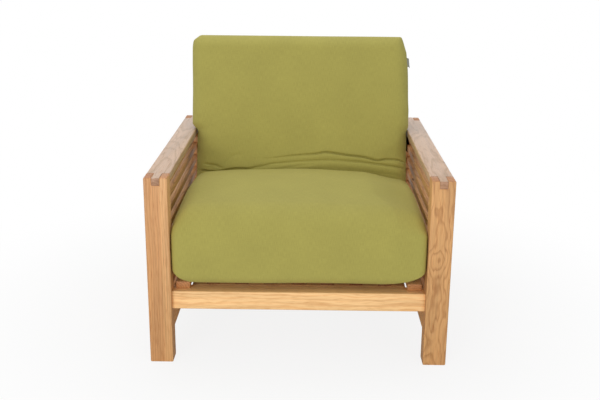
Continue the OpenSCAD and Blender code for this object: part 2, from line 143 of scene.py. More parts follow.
class ChairWood(bpy.types.PropertyGroup):
    """Sizes and colours of the oak."""

    edge: bpy.props.FloatProperty(
        name="Edge", description="Radius on the edges of the oak pieces", default=1.4 * MM,
        min=0.2 * MM, max=3 * MM, subtype="DISTANCE", unit="LENGTH")
    ring: bpy.props.FloatProperty(
        name="Ring spacing", description="Distance between two growth rings", default=7.5 * MM,
        min=2 * MM, max=20 * MM, subtype="DISTANCE", unit="LENGTH")
    light: bpy.props.StringProperty(
        name="Light wood", description="Colour of the wood between the rings, sRGB hex", default="DBA86F")
    dark: bpy.props.StringProperty(
        name="Dark wood", description="Colour of the rings, sRGB hex", default="BE8A57")


class ChairFuton(bpy.types.PropertyGroup):
    """Sizes and colours of the futon."""

    half_width: bpy.props.FloatProperty(
        name="Half width", description="Half the width of the seat", default=371 * MM,
        min=300 * MM, max=371 * MM, subtype="DISTANCE", unit="LENGTH")
    crown: bpy.props.FloatProperty(
        name="Crown", description="How far the middle of the back bulges", default=16 * MM,
        min=0.0, max=30 * MM, subtype="DISTANCE", unit="LENGTH")
    thread: bpy.props.FloatProperty(
        name="Thread", description="Spacing of the cover's threads", default=1.3 * MM,
        min=0.4 * MM, max=4 * MM, subtype="DISTANCE", unit="LENGTH")
    cover: bpy.props.StringProperty(
        name="Cover", description="Colour of the cover, sRGB hex", default="A89F50")


# Shared helpers


def linear(code):
    """A linear RGBA colour from an sRGB hex code."""
    parts = [int(code[i:i + 2], 16) / 255 for i in (0, 2, 4)]
    return [p / 12.92 if p <= 0.04045 else ((p + 0.055) / 1.055) ** 2.4 for p in parts] + [1.0]


def add(tree, kind, settings=None, inputs=None, stops=None):
    """Adds one node. An input given as a socket, or as a node for its first output, is
    linked, and any other is the input's value.

    stops are the (place, sRGB hex) pairs of a node that has a colour ramp.
    """
    node = tree.nodes.new(kind)
    for name, value in (settings or {}).items():
        setattr(node, name, value)
    for name, value in (inputs or {}).items():
        if isinstance(value, bpy.types.Node):
            value = value.outputs[0]
        if isinstance(value, bpy.types.NodeSocket):
            tree.links.new(value, node.inputs[name])
        else:
            node.inputs[name].default_value = value
    if stops:
        band = node.color_ramp.elements
        while len(band) < len(stops):
            band.new(0.5)
        for element, (place, code) in zip(band, stops):
            element.position, element.color = place, linear(code)
    return node


def new_material(name, fill):
    """A node material. fill adds its nodes to the tree and returns the last one, its shader."""
    material = bpy.data.materials.new(name)
    material.use_nodes = True
    tree = material.node_tree
    tree.nodes.clear()
    add(tree, "ShaderNodeOutputMaterial", inputs={"Surface": fill(tree)})
    return material


def new_piece(name, mesh, material, rounded=True):
    """An object in the scene, with one material, shaded rounded or flat."""
    piece = bpy.data.objects.new(name, mesh)
    bpy.context.scene.collection.objects.link(piece)
    mesh.materials.clear()
    mesh.materials.append(material)
    mesh.polygons.foreach_set("use_smooth", [rounded] * len(mesh.polygons))
    return piece


def make_plain(piece):
    """Turns a piece and its modifiers into a plain mesh."""
    bpy.context.view_layer.update()
    evaluated = piece.evaluated_get(bpy.context.evaluated_depsgraph_get())
    mesh = bpy.data.meshes.new_from_object(evaluated)
    piece.modifiers.clear()
    piece.data = mesh


def filled(mesh, shape):
    """The mesh, filled from a closed bmesh whose faces are turned outwards."""
    bmesh.ops.recalc_face_normals(shape, faces=shape.faces)
    shape.to_mesh(mesh)
    shape.free()
    return mesh


def stand_in(piece, node):
    """Puts a piece in place of a CAD node, on the node's own body."""
    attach(piece, frame["nodes"][node]["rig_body"])
    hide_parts(node)


# Materials


def oiled_oak(tree, light, dark, ring, loops=1.6, pace=3.0, pale=None, coat=0.0, end="E4CFBF"):
    """Oiled oak, planed and sanded: warm, satin, with open pores and soft growth rings.

    Rings stand around the board's own pith, so a flat-sawn face shows loops and a
    quarter-sawn one shows lines. loops says how many rings the pith wanders through, and
    pace how often a metre. pale is the share of the width that a paler stave takes up, coat
    the weight of a rubbed finish, and end tints the end grain, which drinks in more oil; a
    much darker end also paints shade onto end grain that sits in shadow.
    Pores are drawn 1 mm wide, coarser than real ones, to show.
    """
    where = add(tree, "ShaderNodeAttribute", {"attribute_name": "grain"}).outputs["Vector"]
    board = add(tree, "ShaderNodeAttribute", {"attribute_name": "board"})
    cut = add(tree, "ShaderNodeAttribute", {"attribute_name": "end"})

    # Each part of the figure: waves a metre across, along and through the board, detail,
    # the span of the noise that counts, and what it becomes
    drawn = {}
    for part, waves, detail, (start, stop), (low, high) in (
            ("wander", (7.0, pace, 7.0), 1.5, (0.25, 0.75), (-loops, loops)),
            ("ripple", (70.0, 9.0, 70.0), 1.0, (0.3, 0.7), (-0.3, 0.3)),
            ("fibre", (240.0, 6.0, 240.0), 3.0, (0.3, 0.7), (0.9, 1.08)),
            ("pore", (900.0, 24.0, 900.0), 1.0, (0.58, 0.72), (0.0, 1.0)),
            ("cloud", (34.0, 3.2, 34.0), 1.0, (0.3, 0.7), (0.92, 1.07)),
            ("shine", (240.0, 6.0, 240.0), 3.0, (0.3, 0.7), (0.42, 0.56))):
        at = add(tree, "ShaderNodeMapping", inputs={"Vector": where, "Scale": waves})
        noise = add(tree, "ShaderNodeTexNoise", inputs={
            "Vector": at, "Scale": 1.0, "Detail": detail, "Roughness": 0.55})
        drawn[part] = add(tree, "ShaderNodeMapRange", inputs={
            "Value": noise, "From Min": start, "From Max": stop, "To Min": low, "To Max": high})
    drawn["tone"] = add(tree, "ShaderNodeMapRange", inputs={
        "Value": board.outputs["Fac"], "To Min": 0.92, "To Max": 1.05})

    flat = add(tree, "ShaderNodeVectorMath", {"operation": "MULTIPLY"}, {0: where, 1: (1.0, 0.0, 1.0)})
    radius = add(tree, "ShaderNodeVectorMath", {"operation": "LENGTH"}, {0: flat})
    year = add(tree, "ShaderNodeMath", {"operation": "DIVIDE"}, {0: radius.outputs["Value"], 1: ring})
    for part in ("wander", "ripple"):
        year = add(tree, "ShaderNodeMath", {"operation": "ADD"}, {0: year, 1: drawn[part]})
    year = add(tree, "ShaderNodeMath", {"operation": "FRACT"}, {0: year})
    band = add(tree, "ShaderNodeValToRGB", inputs={"Fac": year}, stops=[
        (0.0, light), (0.45, light), (0.84, dark), (1.0, light)])
    tone = drawn["fibre"]
    for part in ("cloud", "tone"):
        tone = add(tree, "ShaderNodeMath", {"operation": "MULTIPLY"}, {0: tone, 1: drawn[part]})
    colour = add(tree, "ShaderNodeVectorMath", {"operation": "SCALE"}, {0: band, "Scale": tone})

    # Small knots, scattered some 70 mm apart across the grain and 320 mm along it
    knots_at = add(tree, "ShaderNodeMapping", inputs={"Vector": where, "Scale": (15.0, 3.1, 15.0)})
    knots = add(tree, "ShaderNodeTexVoronoi", inputs={"Vector": knots_at, "Scale": 1.0})
    fleck = add(tree, "ShaderNodeMapRange", inputs={
        "Value": knots, "From Min": 0.03, "From Max": 0.075, "To Min": 1.0, "To Max": 0.0})
    tints = [(drawn["pore"], "DCC4AA"), (fleck, "7A5A40"), (cut.outputs["Fac"], end)]
    if pale:
        # A post glued up from two staves: the inner one is paler
        stave = add(tree, "ShaderNodeAttribute", {"attribute_name": "stave"})
        inner = add(tree, "ShaderNodeMath", {"operation": "LESS_THAN"}, {0: stave.outputs["Fac"], 1: pale})
        tints.append((inner, "F4EBE6"))
    for share, code in tints:
        colour = add(tree, "ShaderNodeMix", {"data_type": "RGBA", "blend_type": "MULTIPLY"}, {
            "Factor": share, 6: colour, 7: linear(code)}).outputs[2]

    height = add(tree, "ShaderNodeMath", {"operation": "SUBTRACT"}, {0: drawn["fibre"], 1: drawn["pore"]})
    bump = add(tree, "ShaderNodeBump", inputs={"Strength": 0.35, "Distance": 0.25 * MM, "Height": height})
    return add(tree, "ShaderNodeBsdfPrincipled", inputs={
        "Base Color": colour, "Roughness": drawn["shine"], "IOR": 1.48, "Normal": bump,
        "Coat Weight": coat, "Coat Roughness": 0.32})


def cotton_drill(tree, code, thread):
    """Cotton drill, woven from mixed olive yarns: matt, with fine upright threads and a soft nap.

    Threads are drawn at the given spacing, coarser than the real 0.5 mm, so that they show.
    """
    at = add(tree, "ShaderNodeUVMap", {"uv_map": "cloth"})
    tone, height = None, None
    for waves, (low, high) in (
            ((1 / thread, 0.07 / thread, 1.0), (0.93, 1.06)),
            ((0.06 / thread, 1 / thread, 1.0), (0.96, 1.03)),
            ((9.0, 7.0, 1.0), (0.97, 1.03))):
        lay = add(tree, "ShaderNodeMapping", inputs={"Vector": at, "Scale": waves})
        yarn = add(tree, "ShaderNodeTexNoise", inputs={
            "Vector": lay, "Scale": 1.0, "Detail": 1.0, "Roughness": 0.5})
        shade = add(tree, "ShaderNodeMapRange", inputs={
            "Value": yarn, "From Min": 0.3, "From Max": 0.7, "To Min": low, "To Max": high})
        if tone is None:
            tone, height = shade, yarn
            continue
        tone = add(tree, "ShaderNodeMath", {"operation": "MULTIPLY"}, {0: tone, 1: shade})
        height = add(tree, "ShaderNodeMath", {"operation": "ADD"}, {0: height, 1: yarn})
    toned = add(tree, "ShaderNodeVectorMath", {"operation": "SCALE"}, {0: linear(code)[:3], "Scale": tone})
    bump = add(tree, "ShaderNodeBump", inputs={"Strength": 0.5, "Distance": 0.3 * MM, "Height": height})
    return add(tree, "ShaderNodeBsdfPrincipled", inputs={
        "Base Color": toned, "Roughness": 0.9, "IOR": 1.46, "Sheen Weight": 0.12,
        "Sheen Roughness": 0.5, "Sheen Tint": linear("D8D49A"), "Normal": bump})


def zinc_plated_steel(tree):
    """Zinc-plated steel, drawn and plated: a cool metal with faint clouds 4.5 mm across."""
    at = add(tree, "ShaderNodeTexCoord").outputs["Object"]
    cloud = add(tree, "ShaderNodeTexNoise", inputs={
        "Vector": at, "Scale": 1 / (4.5455 * MM), "Detail": 3.0})
    shade = add(tree, "ShaderNodeValToRGB", inputs={"Fac": cloud}, stops=[(0.3, "9DA0A3"), (0.7, "C2C4C5")])
    rough = add(tree, "ShaderNodeMapRange", inputs={
        "Value": cloud, "From Min": 0.3, "From Max": 0.7, "To Min": 0.28, "To Max": 0.45})
    return add(tree, "ShaderNodeBsdfPrincipled", inputs={
        "Base Color": shade, "Roughness": rough, "Metallic": 1.0})


def black_nylon(tree):
    """Moulded black nylon: dark and even, with a spark-eroded grit 0.67 mm across."""
    at = add(tree, "ShaderNodeTexCoord").outputs["Object"]
    pit = add(tree, "ShaderNodeTexNoise", inputs={
        "Vector": at, "Scale": 1 / (0.66667 * MM), "Detail": 2.0})
    shade = add(tree, "ShaderNodeValToRGB", inputs={"Fac": pit}, stops=[(0.3, "1C1C1D"), (0.7, "2B2B2C")])
    bump = add(tree, "ShaderNodeBump", inputs={"Strength": 0.4, "Distance": 0.1 * MM, "Height": pit})
    return add(tree, "ShaderNodeBsdfPrincipled", inputs={
        "Base Color": shade, "Roughness": 0.55, "IOR": 1.53, "Normal": bump})


def woven_tape(tree):
    """Woven polyester tape for the bare side tag: grey with cross ribs about 1 mm apart."""
    at = add(tree, "ShaderNodeTexCoord").outputs["Object"]
    # A wave texture turns through 20 radians for each unit of its scale
    rib = add(tree, "ShaderNodeTexWave", {"bands_direction": "Z"}, {
        "Vector": at, "Scale": math.tau / 20 / (1.0472 * MM), "Distortion": 0.6}).outputs["Fac"]
    shade = add(tree, "ShaderNodeValToRGB", inputs={"Fac": rib}, stops=[(0.0, "94968F"), (1.0, "B0B1AB")])
    bump = add(tree, "ShaderNodeBump", inputs={"Strength": 0.4, "Distance": 0.1 * MM, "Height": rib})
    return add(tree, "ShaderNodeBsdfPrincipled", inputs={
        "Base Color": shade, "Roughness": 0.7, "Normal": bump})


def studio_floor(tree):
    """Matt paper: white to the camera, slightly greyer under the chair, and grey to the light."""
    shader = add(tree, "ShaderNodeBsdfPrincipled", inputs={
        "Base Color": linear("E0E0DE"), "Roughness": 0.9, "Specular IOR Level": 0.1})
    glow = add(tree, "ShaderNodeEmission", inputs={"Color": linear("FFFFFF"), "Strength": 1.0})
    path = add(tree, "ShaderNodeLightPath")
    at = add(tree, "ShaderNodeTexCoord")
    away = add(tree, "ShaderNodeVectorMath", {"operation": "LENGTH"}, {0: at.outputs["Object"]})
    far = add(tree, "ShaderNodeMapRange", {"interpolation_type": "SMOOTHSTEP"}, {
        "Value": away.outputs["Value"], "From Min": 0.5, "From Max": 1.5,
        "To Min": 0.86, "To Max": 1.0})
    seen = add(tree, "ShaderNodeMath", {"operation": "MULTIPLY"}, {
        0: far, 1: path.outputs["Is Camera Ray"]})
    return add(tree, "ShaderNodeMixShader", inputs={0: seen, 1: shader, 2: glow})


@functools.cache
def finish(name):
    """A shared material, made the first time that a piece asks for it."""
    wood = bpy.context.scene.chair_wood
    cloth = bpy.context.scene.chair_futon
    # Each finish has its material's name, its function, and that function's values
    label, fill, values, named = {
        "oak": ("Oiled oak", oiled_oak, (wood.light, wood.dark, wood.ring), {}),
        # The slats under the futon's lip have their end grain tinted far darker than oil alone makes it:
        # painted shade for the dark slot beneath the lip
        "oak_base": (
            "Oiled oak, dark ends", oiled_oak, (wood.light, wood.dark, wood.ring), {"end": "8C7460"}),
        "oak_post_left": (
            "Oiled oak, two staves", oiled_oak, ("E0AC74", "CE985F", wood.ring, 0.8, 2.0), {"pale": 0.66}),
        "oak_post_right": (
            "Oiled oak, flat sawn", oiled_oak, ("D9A46A", "C08A54", 8.5 * MM, 3.0, 6.0), {}),
        # The arms' oak is paler and greyer than the rest: partly the arms' own tone, partly a painted sheen
        # standing in for the whitish reflection on their tops
        "oak_arm": ("Oiled oak, arm", oiled_oak, ("CCA98B", "B6926F", 8 * MM, 2.0, 2.2), {"coat": 0.5}),
        "oak_apron": ("Oiled oak, apron", oiled_oak, ("FACB8E", "ECB678", 5 * MM, 0.8, 3.0), {}),
        "cotton": ("Cotton drill", cotton_drill, (cloth.cover, cloth.thread), {}),
        "steel": ("Zinc-plated steel", zinc_plated_steel, (), {}),
        "nylon": ("Moulded nylon", black_nylon, (), {}),
        "tape": ("Woven tape", woven_tape, (), {}),
        "floor": ("Pale studio floor", studio_floor, (), {}),
    }[name]
    return new_material(label, lambda tree: fill(tree, *values, **named))


# Oak boards


def solid_ids(mesh):
    """For each vertex, the number of the solid that it belongs to."""
    count = len(mesh.vertices)
    ends = np.zeros(len(mesh.edges) * 2, int)
    mesh.edges.foreach_get("vertices", ends)
    ends = ends.reshape(-1, 2)
    ids = np.arange(count)
    while True:
        low = np.minimum(ids[ends[:, 0]], ids[ends[:, 1]])
        new = ids.copy()
        np.minimum.at(new, ends[:, 0], low)
        np.minimum.at(new, ends[:, 1], low)
        new = new[new]
        if (new == ids).all():
            break
        ids = new
    return np.unique(ids, return_inverse=True)[1]


def mark_board(mesh, along, seed, pith=None, leaning=False):
    """Stores each board's own grain coordinates, tone, stave place and end faces.

    along is the axis of the grain, and Y runs up the back where the boards lean with it.
    pith is the (across, through) place of the pith.
    """
    count = len(mesh.vertices)
    co = np.zeros(count * 3)
    mesh.vertices.foreach_get("co", co)
    co = co.reshape(-1, 3)
    if leaning:
        co = np.stack([co[:, 0], *off_back(co[:, 1], co[:, 2])], axis=1)
    order = {"X": (1, 0, 2), "Y": (0, 1, 2), "Z": (0, 2, 1)}[along]
    local = co[:, order]
    ids = solid_ids(mesh)
    luck = random.Random(seed)
    tones = np.zeros(count)
    stave = np.zeros(count)
    for k in range(ids.max() + 1):
        chosen = ids == k
        low, high = local[chosen].min(0), local[chosen].max(0)
        centre = (low + high) / 2
        across, through = pith or (luck.uniform(-0.09, 0.09), luck.uniform(0.03, 0.12))
        stave[chosen] = (local[chosen][:, 0] - low[0]) / max(high[0] - low[0], 1e-6)
        shift = np.array([across - centre[0], luck.uniform(0, 4) - centre[1], through - centre[2]])
        local[chosen] += shift
        tones[chosen] = luck.random()
    axis = Vector([float(name == along) for name in "XYZ"])
    if leaning and along == "Y":
        axis = Vector((0, LEAN_COS, LEAN_SIN))
    ends = [float(abs(face.normal.dot(axis)) > 0.9) for face in mesh.polygons]
    for name, kind, domain, field, values in (
            ("grain", "FLOAT_VECTOR", "POINT", "vector", local.astype(np.float32).ravel()),
            ("board", "FLOAT", "POINT", "value", tones.astype(np.float32)),
            ("stave", "FLOAT", "POINT", "value", stave.astype(np.float32)),
            ("end", "FLOAT", "FACE", "value", ends)):
        mesh.attributes.new(name, kind, domain).data.foreach_set(field, values)


def soften(piece, width, segments=2):
    """Rounds the sharp edges of a piece and makes it plain."""
    bevel = piece.modifiers.new("edges", "BEVEL")
    bevel.width = width
    bevel.segments = segments
    bevel.limit_method = "ANGLE"
    bevel.angle_limit = math.radians(35)
    bevel.use_clamp_overlap = False
    make_plain(piece)
    piece.data.polygons.foreach_set("use_smooth", [True] * len(piece.data.polygons))
    piece.data.set_sharp_from_angle(angle=math.radians(32))


def oak_copy(node, along, material="oak", pith=None, leaning=False, edge=None, seed=None):
    """A softened oak piece in place of a CAD node."""
    shape = bmesh.new()
    shape.from_mesh(frame["nodes"][node].data)
    bmesh.ops.remove_doubles(shape, verts=shape.verts, dist=0.01 * MM)
    bmesh.ops.dissolve_limit(
        shape, angle_limit=math.radians(0.4), verts=shape.verts, edges=shape.edges)
    mesh = bpy.data.meshes.new("oak_" + node)
    shape.to_mesh(mesh)
    shape.free()
    piece = new_piece("oak_" + node, mesh, finish(material))
    soften(piece, edge or bpy.context.scene.chair_wood.edge)
    mark_board(piece.data, along, seed or node, pith, leaning)
    stand_in(piece, node)


# Slats and screws by Geometry Nodes


def group_tree(name, sockets):
    """A Geometry Nodes group with named inputs. Returns the tree and its inputs' sockets."""
    tree = bpy.data.node_groups.new(name, "GeometryNodeTree")
    tree.interface.new_socket("Geometry", in_out="OUTPUT", socket_type="NodeSocketGeometry")
    tree.interface.new_socket("Geometry", in_out="INPUT", socket_type="NodeSocketGeometry")
    for label, kind, default in sockets:
        socket = tree.interface.new_socket(label, in_out="INPUT", socket_type=kind)
        if default is not None:
            socket.default_value = default
    return tree, add(tree, "NodeGroupInput").outputs


def end_tree(tree, geometry, material):
    """Ends a tree in Realize Instances and Set Material."""
    real = add(tree, "GeometryNodeRealizeInstances", inputs={"Geometry": geometry})
    dressed = add(tree, "GeometryNodeSetMaterial", inputs={"Geometry": real, "Material": material})
    add(tree, "NodeGroupOutput", inputs={0: dressed})


@functools.cache
def slat_row_tree():
    """A row of equal slats: a board repeated along a line, then turned and placed."""
    tree, given = group_tree("Slat row", [
        ("Count", "NodeSocketInt", 8), ("Pitch", "NodeSocketVector", (0, 0, 0.05)),
        ("Size", "NodeSocketVector", (0.02, 0.8, 0.022)), ("First", "NodeSocketVector", (0, 0, 0)),
        ("Turn", "NodeSocketRotation", None), ("Place", "NodeSocketVector", (0, 0, 0)),
        ("Material", "NodeSocketMaterial", None)])
    board = add(tree, "GeometryNodeMeshCube", inputs={"Size": given["Size"]})
    line = add(tree, "GeometryNodeMeshLine", {"mode": "OFFSET"}, {
        "Count": given["Count"], "Start Location": given["First"], "Offset": given["Pitch"]})
    row = add(tree, "GeometryNodeInstanceOnPoints", inputs={"Points": line, "Instance": board})
    turned = add(tree, "GeometryNodeTransform", inputs={
        "Geometry": row, "Rotation": given["Turn"], "Translation": given["Place"]})
    end_tree(tree, turned, given["Material"])
    return tree


@functools.cache
def screw_tree():
    """A countersunk head with a cross recess, set into the wood at each point of the piece."""
    under_radius, recess = 2.2 * MM, 1.8 * MM
    tree, given = group_tree("Screw heads", [
        ("Radius", "NodeSocketFloat", 4 * MM), ("Depth", "NodeSocketFloat", 1.6 * MM),
        ("Proud", "NodeSocketFloat", 0.2 * MM), ("Slot", "NodeSocketFloat", 1.1 * MM),
        ("Slot length", "NodeSocketFloat", 4.6 * MM), ("Turn", "NodeSocketRotation", None),
        ("Material", "NodeSocketMaterial", None)])
    head = add(tree, "GeometryNodeMeshCone", inputs={
        "Vertices": 20, "Radius Top": given["Radius"],
        "Radius Bottom": under_radius, "Depth": given["Depth"]})
    cross = add(tree, "GeometryNodeMeshBoolean", {"operation": "DIFFERENCE", "solver": "EXACT"}, {
        "Mesh 1": head})
    lift = add(tree, "ShaderNodeCombineXYZ", inputs={"Z": given["Depth"]})
    for along, over in (("X", "Y"), ("Y", "X")):
        size = add(tree, "ShaderNodeCombineXYZ", inputs={
            along: given["Slot"], over: given["Slot length"], "Z": recess})
        bar = add(tree, "GeometryNodeMeshCube", inputs={"Size": size})
        raised = add(tree, "GeometryNodeTransform", inputs={"Geometry": bar, "Translation": lift})
        tree.links.new(raised.outputs[0], cross.inputs["Mesh 2"])
    down = add(tree, "ShaderNodeMath", {"operation": "SUBTRACT"}, {0: given["Proud"], 1: given["Depth"]})
    sink = add(tree, "ShaderNodeCombineXYZ", inputs={"Z": down})
    sunk = add(tree, "GeometryNodeTransform", inputs={"Geometry": cross, "Translation": sink})
    turn = add(tree, "FunctionNodeRandomValue", {"data_type": "FLOAT_VECTOR"}, {
        1: (0, 0, math.pi), "Seed": 7})
    spun = add(tree, "FunctionNodeEulerToRotation", inputs={0: turn})
    aimed = add(tree, "FunctionNodeRotateRotation", {"rotation_space": "GLOBAL"}, {
        "Rotation": spun, "Rotate By": given["Turn"]})
    heads = add(tree, "GeometryNodeInstanceOnPoints", inputs={
        "Points": given["Geometry"], "Instance": sunk, "Rotation": aimed})
    end_tree(tree, heads, given["Material"])
    return tree


def grown(name, points, tree, values, material):
    """A piece made by a Geometry Nodes tree. values are the tree's inputs by name."""
    mesh = bpy.data.meshes.new(name)
    mesh.from_pydata(points, [], [])
    piece = bpy.data.objects.new(name, mesh)
    bpy.context.scene.collection.objects.link(piece)
    nodes = piece.modifiers.new("grown", "NODES")
    nodes.node_group = tree
    known = {s.name: s.identifier for s in tree.interface.items_tree if s.in_out == "INPUT"}
    for label, value in {**values, "Material": material}.items():
        nodes[known[label]] = value
    make_plain(piece)
    if not piece.data.polygons:
        raise RuntimeError(f"{name} came out empty")
    return piece


def oak_slats(name, node, count, first, pitch, size, turn=0.0, place=(0, 0, 0), material="oak"):
    """A row of oak slats in place of a CAD node."""
    piece = grown(name, [], slat_row_tree(), {
        "Count": count, "First": first, "Pitch": pitch, "Size": size,
        "Turn": (turn, 0, 0), "Place": place}, finish(material))
    soften(piece, 2 * MM, 3)
    mark_board(piece.data, "Y", node, leaning=turn > 0)
    stand_in(piece, node)


# Padded forms


def rounded_loop(corners, step=1 * MM):
    """A dense closed outline through corners (y, z, radius), with round corners."""
    points = []
    count = len(corners)
    for i, (*here, radius) in enumerate(corners):
        here = Vector(here)
        back = (Vector(corners[i - 1][:2]) - here).normalized()
        ahead = (Vector(corners[(i + 1) % count][:2]) - here).normalized()
        half = back.angle(ahead) / 2
        reach = radius / math.tan(half)
        start, stop = here + back * reach, here + ahead * reach
        middle = here + (back + ahead).normalized() * (radius / math.sin(half))
        turns = max(2, int(radius * (math.pi - 2 * half) / step))
        a, b = start - middle, stop - middle
        sweep = a.angle_signed(b)
        for k in range(turns + 1):
            angle = -sweep * k / turns
            c, s = math.cos(angle), math.sin(angle)
            points.append((middle.x + a.x * c - a.y * s, middle.y + a.x * s + a.y * c))
    return np.array(points)


def spaced(loop, spacing):
    """Points of a closed outline, spacing(y, z) apart."""
    closed = np.vstack([loop, loop[:1]])
    lengths = np.hypot(*np.diff(closed, axis=0).T)
    run = np.concatenate([[0], np.cumsum(lengths)])
    fine = np.linspace(0, run[-1], int(run[-1] / (0.5 * MM)))
    y, z = np.interp(fine, run, closed[:, 0]), np.interp(fine, run, closed[:, 1])
    density = 1 / np.array([spacing(a, b) for a, b in zip(y, z)])
    amount = np.concatenate([[0], np.cumsum((density[1:] + density[:-1]) / 2 * np.diff(fine))])
    count = int(round(amount[-1]))
    marks = np.interp(np.arange(count) * amount[-1] / count, amount, fine)
    return np.stack([np.interp(marks, fine, y), np.interp(marks, fine, z)], axis=1), marks


def nearest_in(points, core):
    """For each point, the nearest one in the polygon core."""
    core = np.array(core)
    best = np.full(len(points), 1e9)
    found = points.copy()
    inside = np.zeros(len(points), bool)
    for i in range(len(core)):
        a, b = core[i - 1], core[i]
        d = b - a
        share = np.clip(((points - a) @ d) / (d @ d), 0, 1)
        spot = a + share[:, None] * d
        gap = np.hypot(*(points - spot).T)
        closer = gap < best
        best[closer] = gap[closer]
        found[closer] = spot[closer]
        cross = (a[1] > points[:, 1]) != (b[1] > points[:, 1])
        with np.errstate(divide="ignore", invalid="ignore"):
            hit = points[:, 0] < (b[0] - a[0]) * (points[:, 1] - a[1]) / (b[1] - a[1]) + a[0]
        inside ^= cross & hit
    found[inside] = points[inside]
    return found


def outward(loop):
    """Outward normals of a closed outline."""
    ahead = np.roll(loop, -1, axis=0) - np.roll(loop, 1, axis=0)
    normal = np.stack([ahead[:, 1], -ahead[:, 0]], axis=1)
    normal /= np.linalg.norm(normal, axis=1)[:, None]
    area = np.sum(loop[:, 0] * np.roll(loop[:, 1], -1) - np.roll(loop[:, 0], -1) * loop[:, 1])
    return normal if area > 0 else -normal


def columns(left, right, step):
    """x places from left to right, closer together towards the two edges."""
    crowding = 0.099
    share = np.linspace(0, 1, int((right - left) / step) + 1)
    return left + (right - left) * (share - crowding * np.sin(2 * math.pi * share))


def zipped(loop):
    """Triangles that fill a closed outline shaped like a bent strip, zipped up from its first point."""
    low, high = 0, len(loop)
    triangles = []
    while high - low > 2:
        ahead = np.hypot(*(loop[low + 1] - loop[high % len(loop)]))
        behind = np.hypot(*(loop[high - 1] - loop[low]))
        if ahead <= behind:
            triangles.append((low, low + 1, high % len(loop)))
            low += 1
        else:
            triangles.append((low, high - 1, high % len(loop)))
            high -= 1
    triangles.append((low, low + 1, high % len(loop)))
    return [corners for corners in triangles if len(set(corners)) == 3]


def lofted(name, xs, slices, marks):
    """A closed mesh from one outline for each x. UVs run across and along the cloth."""
    rows, cols = len(marks), len(xs)
    points = np.zeros((cols, rows, 3))
    for i, (x, outline) in enumerate(zip(xs, slices)):
        points[i, :, 0] = x
        points[i, :, 1:] = outline
    faces = []
    for i in range(cols - 1):
        for j in range(rows):
            k = (j + 1) % rows
            faces.append((i * rows + j, i * rows + k, (i + 1) * rows + k, (i + 1) * rows + j))
    for i in (0, cols - 1):
        faces += [tuple(i * rows + j for j in corners) for corners in zipped(points[i, :, 1:])]
    mesh = bpy.data.meshes.new(name)
    mesh.from_pydata(points.reshape(-1, 3).tolist(), [], faces)
    shape = bmesh.new()
    shape.from_mesh(mesh)
    filled(mesh, shape)
    layer = mesh.uv_layers.new(name="cloth")
    seam = marks[-1] + (marks[1] - marks[0])
    across = np.concatenate([[0], np.cumsum(np.linalg.norm(
        np.diff(points.mean(axis=1), axis=0), axis=1))])
    for face in mesh.polygons:
        js = [v % rows for v in face.vertices]
        wraps = max(js) - min(js) > rows / 2
        for loop_index, v, j in zip(face.loop_indices, face.vertices, js):
            run = marks[j] + (seam if wraps and j < rows / 2 else 0)
            layer.data[loop_index].uv = (across[v // rows] + xs[0], run)
    return mesh


def smooth(value, low, high):
    """An S-shaped rise from 0 at low to 1 at high."""
    share = np.clip((value - low) / (high - low), 0, 1)
    return share * share * (3 - 2 * share)


def gently(x, y, seed, size):
    """Slow, seeded undulation about zero, seldom past 1, with waves of about the given size."""
    luck = random.Random(seed)
    total = np.zeros(np.broadcast(x, y).shape)
    for _ in range(7):
        angle, phase = luck.uniform(0, math.tau), luck.uniform(0, math.tau)
        pace = math.tau / (size * luck.uniform(0.7, 1.6))
        total = total + np.sin(x * math.cos(angle) * pace + y * math.sin(angle) * pace + phase)
    return total / 4


def roundness(share, power):
    """The height, from 1 to 0, of a padded edge whose surface bends down by the given power."""
    return (1 - np.clip(share, 0, 1) ** power) ** (1 / power)


def clear_band(piece, height, half):
    """Moves the vertices that lie within half of a height to its edge, up or down."""
    for v in piece.data.vertices:
        gap = v.co.z - height
        if abs(gap) < half:
            v.co.z = height + (half if gap >= 0 else -half)


# Operators


class ChairFrame(bpy.types.Operator):
    """Posts, arms, lower side rails, apron and rear rail"""

    bl_idname = "chair.frame"
    bl_label = "Oak frame"

    def execute(self, context):
        oak_copy("front_post_left", "Z", "oak_post_left", (0.42, 0.11), edge=POST_EDGE)
        oak_copy("front_post_right", "Z", "oak_post_right", (0.008, 0.06), edge=POST_EDGE, seed=11)
        oak_copy("rear_post_left", "Z", pith=(0.05, 0.09), edge=POST_EDGE)
        oak_copy("rear_post_right", "Z", pith=(-0.04, 0.12), edge=POST_EDGE)
        oak_copy("arm_left", "Y", "oak_arm", (0.012, 0.055), edge=CLOSE_EDGE)
        oak_copy("arm_right", "Y", "oak_arm", (-0.014, 0.06), edge=CLOSE_EDGE)
        oak_copy("lower_rail_left", "Y", pith=(0.06, 0.05))
        oak_copy("lower_rail_right", "Y", pith=(-0.07, 0.06))
        oak_copy("apron", "X", "oak_apron", (0.18, 0.05))
        oak_copy("rear_rail", "X", pith=(0.06, 0.08))
        return {"FINISHED"}


class ChairSideSlats(bpy.types.Operator):
    """Eight thin slats on each side, between the lower rail and the arm"""

    bl_idname = "chair.side_slats"
    bl_label = "Side slats"

    def execute(self, context):
        count, height, arm_thick = 8, 22 * MM, 22 * MM
        rail_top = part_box("lower_rail_right")[1].z
        gap = (ARM_TOP - arm_thick - rail_top - count * height) / (count + 1)
        for side, sign in (("left", -1), ("right", 1)):
            node = "side_slats_" + side
            low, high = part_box(node)
            oak_slats(
                node.replace("side", "oak_side"), node, count,
                (sign * SLAT_X, (low.y + high.y) / 2, rail_top + gap + height / 2),
                (0, 0, height + gap), (high.x - low.x, high.y - low.y, height))
        return {"FINISHED"}


